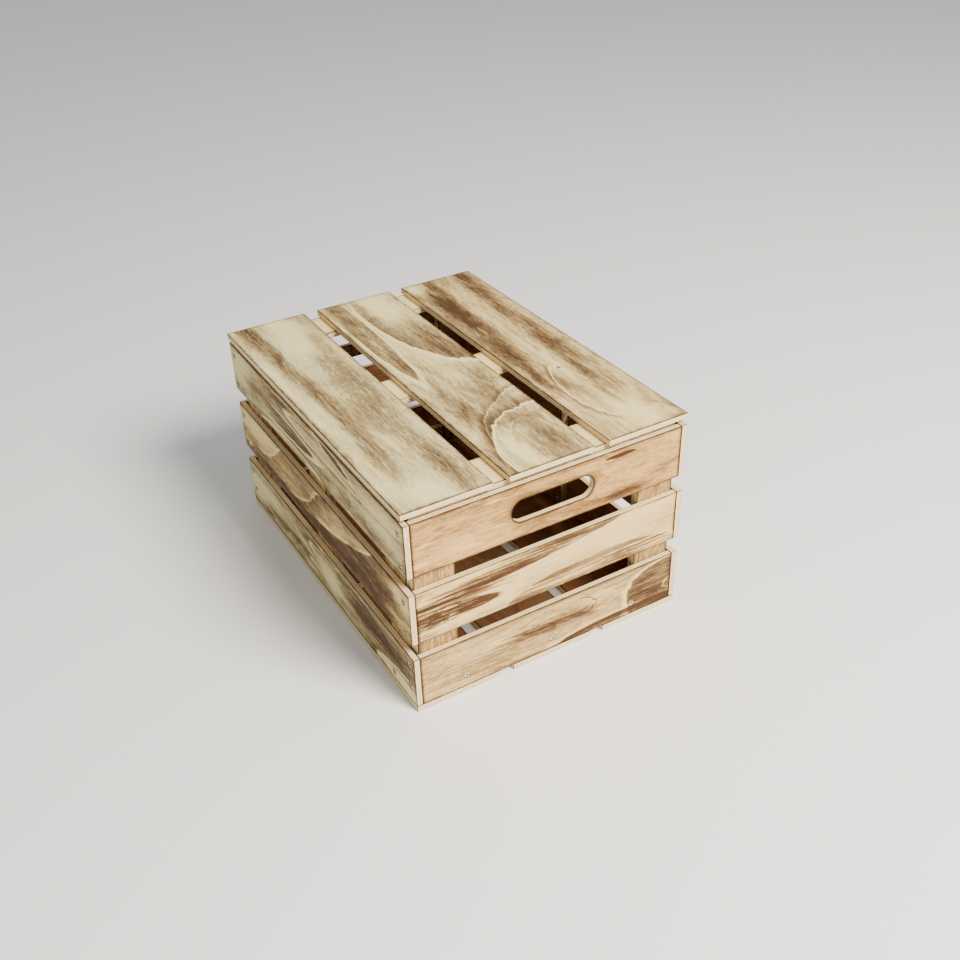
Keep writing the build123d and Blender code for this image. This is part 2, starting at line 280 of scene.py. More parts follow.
class CrateFinishSettings(bpy.types.PropertyGroup):
    pale: colour_setting("Pale veneer", "Sanded wood that no flame has touched", (0.86, 0.715, 0.335))
    tan: colour_setting("Tan veneer", "Wood that is lightly toasted", (0.38, 0.275, 0.117))
    brown: colour_setting(
        "Brown veneer", "Wood that is scorched through the early growth", (0.165, 0.104, 0.048),
    )
    dark: colour_setting("Dark veneer", "Wood that is nearly burnt", (0.078, 0.042, 0.018))
    ply_cream: colour_setting("Ply edge", "Sawn edge of the outer plies", (0.92, 0.71, 0.39))
    ply_core: colour_setting("Ply core", "Sawn end grain of the middle ply", (0.70, 0.53, 0.31))
    # Partly painted shade: the char line along the arrises is dark enough to stand also for the shade at the
    # boards' edges and in the gaps between them.
    char: colour_setting("Char", "Burnt line and painted shade along an arris", (0.036, 0.018, 0.007))
    steel: colour_setting("Steel", "Yellow passivated zinc on the screws", (0.80, 0.64, 0.40))
    # Partly painted light: the cool tint also stands for the cooler shade on the left wall.
    cool_tint_and_shade: colour_setting("Cool tint and shade", "Greenish tint of the cooler veneers and of the painted shade on the left wall", (0.85, 0.95, 1.15), high=2.0)
    # Partly painted shade: the inner faces are stained this dark red-brown so that it also stands for the
    # shade inside the closed crate.
    inside: colour_setting("Inside stain and shade", "Red-brown stain and painted shade on the inner faces", (0.27, 0.11, 0.045))
    inside_cover: FloatProperty(
        name="Inside cover", description="How much of the inner faces' own colour the stain covers",
        default=0.85, min=0.0, max=1.0, subtype="FACTOR",
    )
    # Partly painted light: the warm tint also stands for the warm key light on the front wall.
    warm: colour_setting("Warm tint and light", "Pinkish tint of the warmer veneers and of the painted light on the front wall", (0.93, 0.65, 0.47))
    char_width: length_setting("Char width", "Reach of the burnt line from an arris", 1.9 * MM)
    seed: IntProperty(
        name="Seed", description="Picks the figure of the boards that have none of their own",
        default=7, min=0,
    )


class CrateStageSettings(bpy.types.PropertyGroup):
    floor_colour: colour_setting("Floor colour", "Colour of the pale floor", (0.93, 0.93, 0.92))
    floor_size: length_setting("Floor size", "Length of the floor's side", 30.0, low=1.0)
    camera_place: FloatVectorProperty(
        name="Camera place", description="Where the camera stands",
        default=(-0.5471, -1.0478, 0.8893), size=3, subtype="TRANSLATION",
    )
    camera_heading: FloatProperty(
        name="Camera heading", description="Turn of the view from +Y towards +X",
        default=math.radians(29.69), subtype="ANGLE",
    )
    camera_dip: FloatProperty(
        name="Camera dip", description="How far the view looks down",
        default=math.radians(33.56), subtype="ANGLE",
    )
    camera_roll: FloatProperty(
        name="Camera roll", description="Turn of the camera about its own view",
        default=math.radians(2.04), subtype="ANGLE",
    )
    lens: FloatProperty(
        name="Lens", description="Focal length of the camera in millimetres",
        default=41.25, min=1.0,
    )


# ---- node wiring

class Wiring:
    """Adds nodes to one node tree. Each call returns what the new node puts out."""

    def __init__(self, tree):
        self.tree = tree

    def put(self, socket, value):
        """Give a socket a link or a plain value."""
        if isinstance(value, bpy.types.NodeSocket):
            self.tree.links.new(value, socket)
        elif hasattr(socket.default_value, "__len__"):
            filled = list(value) + [1.0] * (len(socket.default_value) - len(value))
            socket.default_value = filled
        else:
            socket.default_value = value

    def add(self, kind, inputs=(), **settings):
        node = self.tree.nodes.new(kind)
        for key, value in settings.items():
            setattr(node, key, value)
        for key, value in dict(inputs).items():
            self.put(node.inputs[key], value)
        return node

    def math(self, operation, *values):
        return self.add("ShaderNodeMath", dict(enumerate(values)), operation=operation).outputs[0]

    def times(self, a, b):
        return self.math("MULTIPLY", a, b)

    def line(self, value, slope, start):
        """The value times its slope, from a start."""
        return self.math("MULTIPLY_ADD", value, slope, start)

    def vector(self, operation, *values):
        node = self.add("ShaderNodeVectorMath", operation=operation)
        for socket, value in zip(node.inputs, values):
            self.put(socket, value)
        return node.outputs["Value" if operation in ("LENGTH", "DOT_PRODUCT") else "Vector"]

    def scaled(self, place, amounts):
        return self.vector("MULTIPLY", place, amounts)

    def split(self, place):
        node = self.add("ShaderNodeSeparateXYZ", {"Vector": place})
        return node.outputs["X"], node.outputs["Y"], node.outputs["Z"]

    def noise(self, place, detail=2.0, roughness=0.5):
        """Noise at a scale of one, with its grey and its colour output."""
        inputs = {"Vector": place, "Scale": 1.0, "Detail": detail, "Roughness": roughness}
        node = self.add("ShaderNodeTexNoise", inputs)
        return node.outputs["Fac"], node.outputs["Color"]

    def rise(self, value, start, end, low=0.0, high=1.0):
        """A smooth step from start to end."""
        inputs = {"Value": value, "From Min": start, "From Max": end, "To Min": low, "To Max": high}
        return self.add("ShaderNodeMapRange", inputs, interpolation_type="SMOOTHSTEP").outputs["Result"]

    def blend(self, factor, a, b, kind="MIX"):
        node = self.add("ShaderNodeMix", data_type="RGBA", blend_type=kind)
        for key, value in (("Factor_Float", factor), ("A_Color", a), ("B_Color", b)):
            self.put(next(s for s in node.inputs if s.identifier == key), value)
        return next(s for s in node.outputs if s.identifier == "Result_Color")

    def total_place(self, place, *steps):
        """A place moved by several steps."""
        for step in steps:
            place = self.vector("ADD", place, step)
        return place

    def total(self, values):
        """The sum of several values."""
        result, *others = values
        for value in others:
            result = self.math("ADD", result, value)
        return result

    def group(self, name, **inputs):
        node = self.add("ShaderNodeGroup", node_tree=bpy.data.node_groups[name])
        for key, value in inputs.items():
            self.put(node.inputs[key.replace("_", " ")], value)
        return node.outputs


FLOAT = "NodeSocketFloat"
VECTOR = "NodeSocketVector"
COLOUR = "NodeSocketColor"


def new_group(name, inputs, outputs):
    """An empty shader group with its sockets, and the wiring to fill it."""
    group = bpy.data.node_groups.new(name, "ShaderNodeTree")
    for in_out, sockets in (("INPUT", inputs), ("OUTPUT", outputs)):
        for socket, kind in sockets.items():
            group.interface.new_socket(name=socket, in_out=in_out, socket_type=kind)
    wiring = Wiring(group)
    entry = wiring.add("NodeGroupInput").outputs
    leave = wiring.add("NodeGroupOutput").inputs
    return wiring, entry, leave


def make_board_edges():
    """How near a point is to an arris, and which face of the board it is on."""
    w, entry, leave = new_group(
        "Board edges",
        {"Place": VECTOR, "Half size": VECTOR},
        {"Arris distance": FLOAT, "Wide face": FLOAT, "Outer side": FLOAT, "Ply depth": FLOAT},
    )
    room = w.vector("SUBTRACT", entry["Half size"], w.vector("ABSOLUTE", entry["Place"]))
    along, up, out = w.split(room)
    small = w.math("MINIMUM", along, up)
    large = w.math("MAXIMUM", along, up)
    middle = w.math("MAXIMUM", small, w.math("MINIMUM", large, out))
    depth = w.split(entry["Place"])[2]
    half_depth = w.split(entry["Half size"])[2]
    w.put(leave["Arris distance"], middle)
    w.put(leave["Wide face"], w.rise(out, 0.9 * MM, 0.35 * MM))
    w.put(leave["Outer side"], w.rise(depth, -0.5 * MM, 0.5 * MM))
    w.put(leave["Ply depth"], w.math("DIVIDE", depth, half_depth))


def make_veneer_figure():
    """Fibres, mottling and growth rings of rotary-cut veneer, and the place with wandering fibres."""
    w, entry, leave = new_group(
        "Veneer figure",
        {"Place": VECTOR, "Seed": FLOAT},
        {
            "Patch place": VECTOR, "Loop place": VECTOR, "Mottle": FLOAT, "Grain": FLOAT, "Lines": FLOAT,
            "Fibre": FLOAT, "Fleck": FLOAT, "Rings": FLOAT, "Cloud": FLOAT,
        },
    )
    seed = w.add("ShaderNodeCombineXYZ", {"X": entry["Seed"], "Y": entry["Seed"]}).outputs[0]
    place = w.vector("ADD", entry["Place"], w.scaled(seed, (0.37, 0.61, 0)))

    def wander(scale, reach, detail):
        colour = w.noise(w.scaled(place, scale), detail)[1]
        return w.scaled(w.vector("SUBTRACT", colour, (0.5, 0.5, 0.5)), reach)

    slow = wander((7, 22, 60), (50 * MM, 10 * MM, 0), 1.0)
    ragged = wander((45, 460, 60), (36 * MM, 3 * MM, 0), 4.0)
    nibbled = wander((45, 150, 60), (16 * MM, 3 * MM, 0), 3.0)
    streaked = w.vector("ADD", place, ragged)
    w.put(leave["Patch place"], w.total_place(entry["Place"], slow, ragged))
    w.put(leave["Loop place"], w.total_place(entry["Place"], w.scaled(slow, (0.6, 0.6, 0)), nibbled))
    blotch = w.noise(w.scaled(streaked, (30, 110, 60)), 3.0, 0.6)[0]
    streak = w.noise(w.scaled(place, (38, 420, 300)), 4.0, 0.7)[0]
    grain = w.noise(w.scaled(streaked, (110, 300, 300)), 4.0, 0.7)[0]
    w.put(leave["Mottle"], w.rise(blotch, 0.3, 0.7))
    w.put(leave["Grain"], w.rise(w.line(grain, 0.65, w.times(streak, 0.35)), 0.36, 0.64))
    lines = w.noise(w.scaled(w.vector("ADD", place, slow), (5, 300, 60)), 2.0, 0.6)[0]
    w.put(leave["Lines"], w.rise(lines, 0.4, 0.62))
    w.put(leave["Fibre"], w.noise(w.scaled(place, (26, 900, 300)), 4.0, 0.7)[0])
    w.put(leave["Fleck"], w.noise(w.scaled(place, (170, 1700, 700)), 2.0, 0.6)[0])
    w.put(leave["Cloud"], w.noise(w.scaled(place, (9, 24, 20)), 2.0, 0.5)[0])
    contour = w.noise(w.scaled(w.vector("ADD", place, nibbled), (4.0, 13, 10)), 1.0, 0.4)[0]
    count = w.math("FRACT", w.times(contour, 11.0))
    w.put(leave["Rings"], w.times(w.math("POWER", count, 2.5), w.rise(count, 1.0, 0.95)))


def make_scorch_patch():
    """A soft scorched ellipse along the grain."""
    w, entry, leave = new_group(
        "Scorch patch",
        {"Patch place": VECTOR, "Middle": VECTOR, "Half reach": VECTOR, "Strength": FLOAT},
        {"Burn": FLOAT},
    )
    flat = w.scaled(w.vector("SUBTRACT", entry["Patch place"], entry["Middle"]), (1, 1, 0))
    reach = w.vector("LENGTH", w.vector("DIVIDE", flat, entry["Half reach"]))
    w.put(leave["Burn"], w.times(w.rise(reach, 1.3, 0.1), entry["Strength"]))


def make_growth_loop():
    """A crisp growth line round an ellipse, with wood that fades away from it and a light rim."""
    w, entry, leave = new_group(
        "Growth loop",
        {
            "Loop place": VECTOR, "Middle": VECTOR, "Turn": FLOAT, "Half reach": VECTOR,
            "Inner": FLOAT, "Outer": FLOAT, "Depth": FLOAT, "Rim": FLOAT, "Rim shift": FLOAT, "Keep": VECTOR,
        },
        {"Burn": FLOAT},
    )
    flat = w.scaled(w.vector("SUBTRACT", entry["Loop place"], entry["Middle"]), (1, 1, 0))
    turned = w.add(
        "ShaderNodeVectorRotate",
        {"Vector": flat, "Angle": entry["Turn"]},
        rotation_type="Z_AXIS",
    ).outputs[0]
    share = w.vector("DIVIDE", turned, entry["Half reach"])
    reach = w.vector("LENGTH", share)
    kept = w.rise(w.vector("DOT_PRODUCT", w.vector("ADD", share, (0, 0, 1)), entry["Keep"]), 0.0, 1.0)
    half_width = w.split(entry["Half reach"])[1]
    gap = w.times(w.math("SUBTRACT", reach, 1.0), half_width)
    behind = w.times(entry["Depth"], -1.0)
    inner = w.times(w.rise(gap, behind, 0.0), w.rise(gap, 0.0, -0.5 * MM))
    outer = w.times(w.rise(gap, entry["Depth"], 0.0), w.rise(gap, 0.0, 0.5 * MM))
    from_rim = w.math("ABSOLUTE", w.math("SUBTRACT", gap, entry["Rim shift"]))
    rim_width = w.line(entry["Depth"], 0.12, 0.4 * MM)
    rim = w.rise(w.math("DIVIDE", from_rim, rim_width), 1.0, 0.1)
    parts = (
        w.times(inner, entry["Inner"]),
        w.times(outer, entry["Outer"]),
        w.times(w.times(rim, entry["Rim"]), -1.0),
    )
    w.put(leave["Burn"], w.times(w.total(parts), kept))


def make_stain():
    """Wood colour by how far it is burnt."""
    w, entry, leave = new_group(
        "Stain",
        {"Burn": FLOAT, "Pale": COLOUR, "Tan": COLOUR, "Brown": COLOUR, "Dark": COLOUR},
        {"Colour": COLOUR},
    )
    colour = entry["Pale"]
    for shade, start, end in (("Tan", 0.02, 0.42), ("Brown", 0.38, 0.85), ("Dark", 0.85, 1.35)):
        factor = w.add(
            "ShaderNodeMapRange", {"Value": entry["Burn"], "From Min": start, "From Max": end},
        ).outputs["Result"]
        colour = w.blend(factor, colour, entry[shade])
    w.put(leave["Colour"], colour)


def make_burnt_arris_and_shade():
    """A broken burnt line along the arrises, partly painted shade of the edges and gaps, and a toasted fringe
    inside it.
    """
    w, entry, leave = new_group(
        "Burnt arris and shade",
        {"Place": VECTOR, "Seed": FLOAT, "Arris distance": FLOAT, "Width": FLOAT},
        {"Char": FLOAT, "Toast": FLOAT},
    )
    shift = w.add("ShaderNodeCombineXYZ", {"X": entry["Seed"], "Z": entry["Seed"]}).outputs[0]
    place = w.vector("ADD", entry["Place"], shift)
    fine = w.noise(w.scaled(place, (90, 90, 90)), 3.0, 0.6)[0]
    slow = w.noise(w.scaled(place, (11, 11, 11)), 1.0)[0]
    width = w.times(entry["Width"], w.line(fine, 1.6, 0.2))
    near = w.math("DIVIDE", entry["Arris distance"], width)
    presence = w.rise(slow, 0.3, 0.5, 0.6, 1.0)
    w.put(leave["Char"], w.times(w.rise(near, 1.0, 0.45), presence))
    spread = w.math("DIVIDE", entry["Arris distance"], w.line(slow, 16 * MM, -2 * MM))
    w.put(leave["Toast"], w.times(w.rise(spread, 1.0, 0.0), w.rise(fine, 0.25, 0.7, 0.5, 1.0)))


def make_ply_edge():
    """Three plies seen on a sawn edge, with thin glue lines between them."""
    w, entry, leave = new_group(
        "Ply edge",
        {"Place": VECTOR, "Ply depth": FLOAT, "Cream": COLOUR, "Core": COLOUR},
        {"Colour": COLOUR},
    )
    wander = w.noise(w.scaled(entry["Place"], (60, 60, 200)), 2.0)[0]
    depth = w.math("ABSOLUTE", w.math("ADD", entry["Ply depth"], w.line(wander, 0.16, -0.08)))
    core = w.rise(depth, 0.36, 0.3)
    glue = w.times(w.rise(depth, 0.3, 0.34), w.rise(depth, 0.42, 0.36))
    saw = w.noise(w.scaled(entry["Place"], (900, 900, 500)), 2.0, 0.6)[0]
    colour = w.blend(w.times(core, 0.55), entry["Cream"], entry["Core"])
    colour = w.blend(w.times(glue, 0.6), colour, entry["Core"])
    shade = w.rise(saw, 0.3, 0.7, 0.86, 1.06)
    grey = w.add("ShaderNodeCombineColor", {"Red": shade, "Green": shade, "Blue": shade}).outputs[0]
    w.put(leave["Colour"], w.blend(1.0, colour, grey, "MULTIPLY"))


def make_slot_arris():
    """The arris distance of a board that has a slot with round ends through its wide faces."""
    w, entry, leave = new_group(
        "Slot arris",
        {"Place": VECTOR, "Half size": VECTOR, "Stretch": FLOAT, "Radius": FLOAT, "Arris distance": FLOAT},
        {"Arris distance": FLOAT},
    )
    along, up, out = w.split(w.vector("ABSOLUTE", entry["Place"]))
    beyond = w.math("MAXIMUM", w.math("SUBTRACT", along, entry["Stretch"]), 0.0)
    spoke = w.vector("LENGTH", w.add("ShaderNodeCombineXYZ", {"X": beyond, "Y": up}).outputs[0])
    off_wall = w.math("ABSOLUTE", w.math("SUBTRACT", spoke, entry["Radius"]))
    off_face = w.math("SUBTRACT", w.split(entry["Half size"])[2], out)
    slot = w.times(w.math("MAXIMUM", off_wall, off_face), 0.7)
    w.put(leave["Arris distance"], w.math("MINIMUM", entry["Arris distance"], slot))


def make_groups():
    """Every shared effect, built once."""
    for make in (
        make_board_edges, make_slot_arris, make_veneer_figure, make_scorch_patch, make_growth_loop,
        make_stain, make_burnt_arris_and_shade, make_ply_edge,
    ):
        make()


# ---- materials

# How far the light rim of a growth line lies off the line
RIM_SHIFT = 1.2 * MM


def new_material(name):
    """A new material with its wiring and its shader."""
    material = bpy.data.materials.new(name)
    material.use_nodes = True
    return material, Wiring(material.node_tree), material.node_tree.nodes["Principled BSDF"]


def lay_of(node):
    """The directions of the board that a node stands for."""
    return next(lay for start, lay in LAYS.items() if node.startswith(start))


def has_hand_hole(node):
    """Whether a node is the top slat of an end wall."""
    return node.startswith("end_slat") and node.endswith("top")


def board_half_size(node, lay):
    """Half a board's length, width and thickness."""
    low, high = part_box(node)
    size = high - low
    return Vector(abs(size.dot(axis)) / 2 for axis in lay)


def board_place(w, node, lay):
    """Object coordinates turned to a board's own directions, from its middle, in metres."""
    low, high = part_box(node)
    side = lay.out.cross(lay.along)
    turn = Matrix((lay.along, side, lay.out)).transposed().to_euler()
    mirror = 1 if side.dot(lay.up) > 0 else -1
    coordinates = w.add("ShaderNodeTexCoord").outputs["Object"]
    mapping = w.add(
        "ShaderNodeMapping",
        {"Vector": coordinates, "Location": (low + high) / 2, "Rotation": turn, "Scale": (1, mirror, 1)},
        vector_type="TEXTURE",
    )
    return mapping.outputs[0]


def made_up_veneer(seed, half):
    """A plausible figure for a board that has none of its own."""
    chance = random.Random(seed)
    length, width = 2 * half.x / MM, 2 * half.y / MM
    patches = [
        Patch(
            chance.uniform(0, length), chance.uniform(0, width),
            length * chance.uniform(0.3, 0.7), width * chance.uniform(0.2, 0.5),
            chance.uniform(0.2, 0.5) * chance.choice((1, 1, -0.8)),
        )
        for _ in range(9)
    ]
    loops = [
        Loop(
            chance.uniform(0, length), chance.uniform(0, width),
            length * chance.uniform(0.3, 0.6), width * chance.uniform(0.25, 0.8), chance.uniform(-4, 4),
            chance.uniform(0.2, 0.45), 0.0, chance.uniform(8, 20), chance.uniform(0.15, 0.3),
        )
        for _ in range(2)
    ]
    return Veneer(
        base=chance.uniform(0.15, 0.3), rings=0.3, lines=0.3, warmth=chance.uniform(0.1, 0.7),
        patches=patches, loops=loops,
    )


def veneer_burn(w, place, veneer, half, seed):
    """How far each point of a board is burnt, with its fibre figure."""
    figure = w.group("Veneer figure", Place=place, Seed=seed)

    def middle(mark):
        return (mark.along * MM - half.x, mark.up * MM - half.y, 0)

    def reach(mark):
        return (mark.length * MM / 2, mark.width * MM / 2, 1)

    marks = [
        w.group(
            "Scorch patch", Patch_place=figure["Patch place"],
            Middle=middle(patch), Half_reach=reach(patch), Strength=patch.strength,
        )["Burn"]
        for patch in veneer.patches
    ]
    marks += [
        w.group(
            "Growth loop", Loop_place=figure["Loop place"],
            Middle=middle(loop), Half_reach=reach(loop), Turn=math.radians(-loop.turn),
            Inner=loop.inner, Outer=loop.outer, Depth=loop.depth * MM, Rim=loop.rim,
            Rim_shift=RIM_SHIFT if loop.inner >= loop.outer else -RIM_SHIFT, Keep=loop.keep,
        )["Burn"]
        for loop in veneer.loops
    ]
    burn = w.total([w.line(figure["Cloud"], 0.5, veneer.base - 0.25), *marks])
    blotched = w.times(burn, w.line(figure["Mottle"], 0.45, 0.78))
    grained = w.times(blotched, w.line(figure["Grain"], 0.7, 0.66))
    pale_grain = w.line(figure["Grain"], 0.1, -0.05)
    ringed = w.times(figure["Rings"], w.line(burn, veneer.rings, veneer.rings * 0.25))
    lined = w.times(w.line(figure["Lines"], veneer.lines, -0.5 * veneer.lines), burn)
    fibres = w.line(figure["Fibre"], 0.3, -0.15)
    return w.total([grained, pale_grain, ringed, lined, fibres]), figure


def board_material(node):
    """The finish of one board: burnt veneer on its faces, plies on its edges, charred arrises that are partly
    painted shade.
    """
    finish = bpy.context.scene.crate_finish
    seed = sorted(SLOT_OF).index(node) + finish.seed
    lay = lay_of(node)
    half = board_half_size(node, lay)
    if SLOT_OF[node] == "cleat_wood":
        # Cleats, rails and the bottom batten take the strip veneer darkened as painted shade; the lid's
        # battens stay pale.
        veneer = LID_STRIP if node.startswith("lid_") else STRIP_AND_RECESS_SHADE
    else:
        veneer = VENEERS.get(node) or made_up_veneer(seed, half)
    material, w, shader = new_material(node.replace("_", " ") + " wood")
    place = board_place(w, node, lay)
    edges = w.group("Board edges", Place=place, Half_size=half)
    burn, figure = veneer_burn(w, place, veneer, half, seed * 0.7)
    distance = edges["Arris distance"]
    if has_hand_hole(node):
        wood = bpy.context.scene.crate_wood
        radius = wood.hand_hole_height / 2
        distance = w.group(
            "Slot arris", Place=place, Half_size=half, Arris_distance=distance,
            Stretch=wood.hand_hole_length / 2 - radius, Radius=radius,
        )["Arris distance"]
    distance = w.times(distance, w.rise(edges["Wide face"], 0.0, 1.0, 1.7, 1.0))
    arris = w.group(
        "Burnt arris and shade", Place=place, Seed=seed * 0.3, Arris_distance=distance, Width=finish.char_width,
    )
    burn = w.math("ADD", burn, w.times(arris["Toast"], 0.3))
    face = w.group(
        "Stain", Burn=burn, Pale=finish.pale, Tan=finish.tan, Brown=finish.brown, Dark=finish.dark,
    )["Colour"]
    edge = w.group(
        "Ply edge", Place=place, Ply_depth=edges["Ply depth"], Cream=finish.ply_cream, Core=finish.ply_core,
    )["Colour"]
    # Warm or cool tint: partly the board's own tone, partly painted light of the lit front and the shaded
    # left wall.
    face = w.blend(abs(veneer.warmth), face, finish.cool_tint_and_shade if veneer.warmth < 0 else finish.warm, "MULTIPLY")
    # The inner faces take the inside colour, a red-brown stain that is partly painted shade of the closed
    # crate's interior.
    inner = w.times(w.math("SUBTRACT", 1.0, edges["Outer side"]), finish.inside_cover)
    face = w.blend(inner, face, finish.inside)
    colour = w.blend(edges["Wide face"], edge, face)
    flecks = w.rise(figure["Fleck"], 0.62, 0.72, 0.0, 0.22)
    colour = w.blend(flecks, colour, finish.brown)
    # Char line along the arrises: partly burnt finish, partly painted shade of the edges and gaps.
    colour = w.blend(w.times(arris["Char"], 0.85), colour, finish.char)
    w.put(shader.inputs["Base Color"], colour)
    w.put(shader.inputs["Roughness"], w.rise(burn, 0.0, 1.0, 0.75, 0.62))
    shader.inputs["Specular IOR Level"].default_value = 0.1
    height = w.total([
        w.times(figure["Fibre"], 0.6), w.times(figure["Fleck"], 0.3), figure["Mottle"],
    ])
    bump = w.add("ShaderNodeBump", {"Strength": 0.35, "Distance": 0.25 * MM, "Height": height})
    w.put(shader.inputs["Normal"], bump.outputs[0])
    return material


def screw_material():
    """Yellow passivated zinc, dulled and smudged by handling."""
    finish = bpy.context.scene.crate_finish
    w, shader = new_material("screw zinc")[1:]
    place = w.add("ShaderNodeTexCoord").outputs["Object"]
    smudge = w.noise(w.scaled(place, (420, 420, 420)), 3.0, 0.6)[0]
    scratch = w.noise(w.scaled(place, (2600, 2600, 500)), 2.0)[0]
    # Brown dirt smudged at random over the zinc.
    grime_and_recess_shade = w.rise(smudge, 0.55, 0.85)
    w.put(shader.inputs["Base Color"], w.blend(grime_and_recess_shade, finish.steel, finish.brown))
    w.put(shader.inputs["Metallic"], w.rise(grime_and_recess_shade, 0.0, 1.0, 0.35, 0.1))
    w.put(shader.inputs["Roughness"], w.rise(scratch, 0.3, 0.7, 0.34, 0.55))
    bump = w.add("ShaderNodeBump", {"Strength": 0.4, "Distance": 0.05 * MM, "Height": scratch})
    w.put(shader.inputs["Normal"], bump.outputs[0])


def recess_shade_material():
    """Painted shade: near-black char with dark specks in the screws' cross recesses and on the walls of their
    holes.
    """
    finish = bpy.context.scene.crate_finish
    w, shader = new_material("grime_and_recess_shade")[1:]
    place = w.add("ShaderNodeTexCoord").outputs["Object"]
    speck = w.noise(w.scaled(place, (1500, 1500, 1500)), 3.0, 0.6)[0]
    w.put(shader.inputs["Base Color"], w.blend(w.rise(speck, 0.35, 0.65), finish.char, finish.dark))
    w.put(shader.inputs["Roughness"], w.rise(speck, 0.3, 0.7, 0.6, 0.9))


# ---- modelling

def deselect_all():
    bpy.ops.object.select_all(action="DESELECT")


def choose(piece):
    """Make the piece the only selected object and the active one."""
    deselect_all()
    piece.select_set(True)
    bpy.context.view_layer.objects.active = piece


def duplicate(piece):
    """A copy of the piece with its own mesh."""
    copy = piece.copy()
    copy.data = piece.data.copy()
    bpy.context.scene.collection.objects.link(copy)
    return copy


def stand(piece, place, outward):
    """Put a piece that points up at a place, pointing outward."""
    piece.location = place
    piece.rotation_euler = outward.to_track_quat("Z", "Y").to_euler()
    return piece


def joined(pieces):
    """One object made of several."""
    deselect_all()
    for piece in pieces:
        piece.select_set(True)
    bpy.context.view_layer.objects.active = pieces[0]
    bpy.ops.object.join()
    return bpy.context.object


def remove(piece):
    mesh = piece.data
    bpy.data.objects.remove(piece)
    bpy.data.meshes.remove(mesh)


def edit_points(piece, chosen):
    """Go into edit mode with only the chosen points of the piece selected."""
    choose(piece)
    bpy.ops.object.mode_set(mode="EDIT")
    bpy.ops.mesh.select_mode(type="VERT")
    bpy.ops.mesh.select_all(action="DESELECT")
    bpy.ops.object.mode_set(mode="OBJECT")
    for vertex in piece.data.vertices:
        vertex.select = chosen(vertex.co)
    bpy.ops.object.mode_set(mode="EDIT")


def apply_modifier(piece, kind, name, **settings):
    """Add one modifier to the piece and apply it."""
    modifier = piece.modifiers.new(name, kind)
    for key, value in settings.items():
        setattr(modifier, key, value)
    choose(piece)
    bpy.ops.object.modifier_apply(modifier=modifier.name)


def cut_away(piece, cutter):
    """Take the cutter's shape out of the piece."""
    apply_modifier(piece, "BOOLEAN", "cut", object=cutter, operation="DIFFERENCE", solver="EXACT")


def cut_sections(low, high, spacing, axis):
    """Rows of points across the mesh in edit mode, evenly spaced along one axis."""
    span = (high - low).dot(axis)
    count = max(1, round(span / spacing))
    for i in range(1, count):
        bpy.ops.mesh.select_all(action="SELECT")
        bpy.ops.mesh.bisect(plane_co=low + axis * (span * i / count), plane_no=axis)


def plain_block(name, low, high):
    """A cube stretched between two corners."""
    deselect_all()
    bpy.ops.mesh.primitive_cube_add(size=1, location=(low + high) / 2, scale=high - low)
    block = bpy.context.object
    block.name = name
    block.data.name = name
    bpy.ops.object.transform_apply(location=True, rotation=True, scale=True)
    return block


def cad_screw_places(node):
    """The middle of each screw head's face, the way it faces and the screw's length, from a CAD node."""
    copy = duplicate(frame["nodes"][node])
    copy.parent = None
    choose(copy)
    bpy.ops.object.mode_set(mode="EDIT")
    bpy.ops.mesh.select_all(action="SELECT")
    bpy.ops.mesh.remove_doubles(threshold=0.01 * MM)
    bpy.ops.mesh.separate(type="LOOSE")
    bpy.ops.object.mode_set(mode="OBJECT")
    screws = list(bpy.context.selected_objects)
    places = [screw_place([vertex.co for vertex in screw.data.vertices]) for screw in screws]
    for screw in screws:
        remove(screw)
    return places


def screw_place(points):
    """Face middle, outward direction and length of one screw from its points."""
    low = Vector(min(p[i] for p in points) for i in range(3))
    high = Vector(max(p[i] for p in points) for i in range(3))
    size = high - low
    run = max(range(3), key=lambda i: size[i])
    axis = (AXIS_X, AXIS_Y, AXIS_Z)[run]
    middle = (low + high) / 2
    tip = min(points, key=lambda p: sum((p[i] - middle[i]) ** 2 for i in range(3) if i != run))
    outward = axis if tip[run] < middle[run] else -axis
    return middle + outward * (size[run] / 2), outward, round(size[run], 4)


# The workshop operator fills these: where the screws of each CAD node stand, and the hole
# cutter for each length of screw
SCREW_PLACES = {}
HOLE_SHAPES = {}

HEAD_SINK = 0.7 * MM
HEAD_RADIUS = 3.5 * MM
HEAD_LAND = 0.3 * MM
HEAD_CHAMFER = 0.12 * MM
SHANK_RADIUS = 1.75 * MM
POINT_LENGTH = 3 * MM
POINT_RADIUS = 0.05 * MM
HOLE_CLEARANCE = 0.12 * MM
HOLE_END_ROOM = 0.4 * MM
RECESS_HALF_LENGTH = 2.0 * MM
RECESS_HALF_WIDTH = 0.85 * MM
RECESS_DEPTH = 1.3 * MM
RECESS_TAPER = 0.62


def give_finishes(piece):
    """The screw finish and the painted recess shade, which holes keep when they are cut or joined."""
    for name in ("screw zinc", "grime_and_recess_shade"):
        piece.data.materials.append(bpy.data.materials[name])


